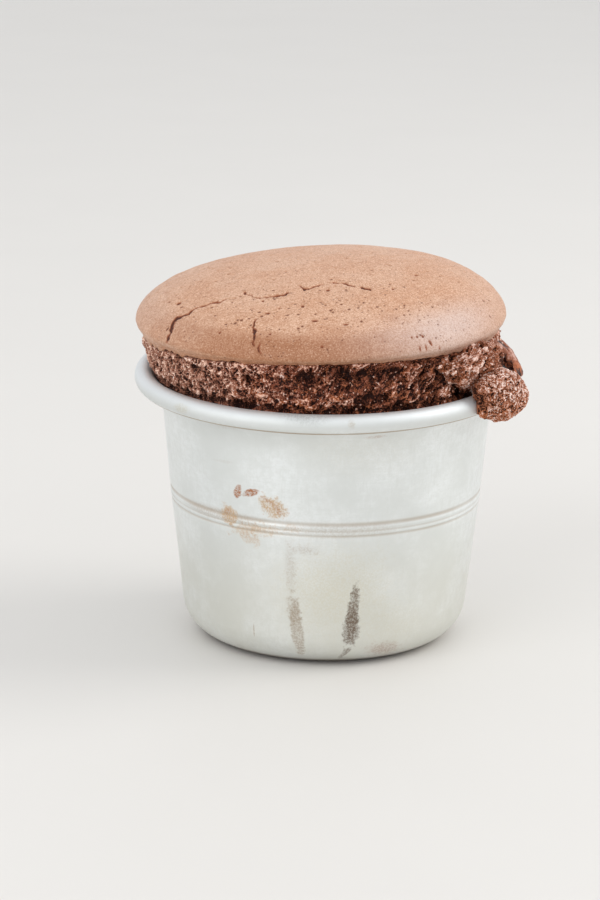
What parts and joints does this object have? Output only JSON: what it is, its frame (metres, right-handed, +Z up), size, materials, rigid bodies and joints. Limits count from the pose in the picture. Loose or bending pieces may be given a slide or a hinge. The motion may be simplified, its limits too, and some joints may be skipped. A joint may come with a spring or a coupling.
{
  "type": "chocolate fondant",
  "caption": "Baked chocolate fondant in its own small aluminium tin: a domed, cracked crust above the rim, torn dark crumb below it, and a spill of batter set over the rim.",
  "frame": {"origin": "centre of the tin's flat base, on the surface that it stands on", "axes": "+Z up out of the tin; -Y is the front, where the rim dips a little; the spill over the rim is at the front right, between +X and -Y"},
  "size_m": [0.0855, 0.085, 0.0848],
  "materials": {
    "tin_aluminium": "matte, much used, with faint brown and grey stains",
    "chocolate_sponge": "open torn chocolate crumb, moist in places",
    "baked_crust": "dry, matte, pale cocoa crust with fine cracks and pinholes"
  },
  "bodies": {
    "root": {"tin": "tin_aluminium", "fondant": "chocolate_sponge"}
  },
  "joints": []
}
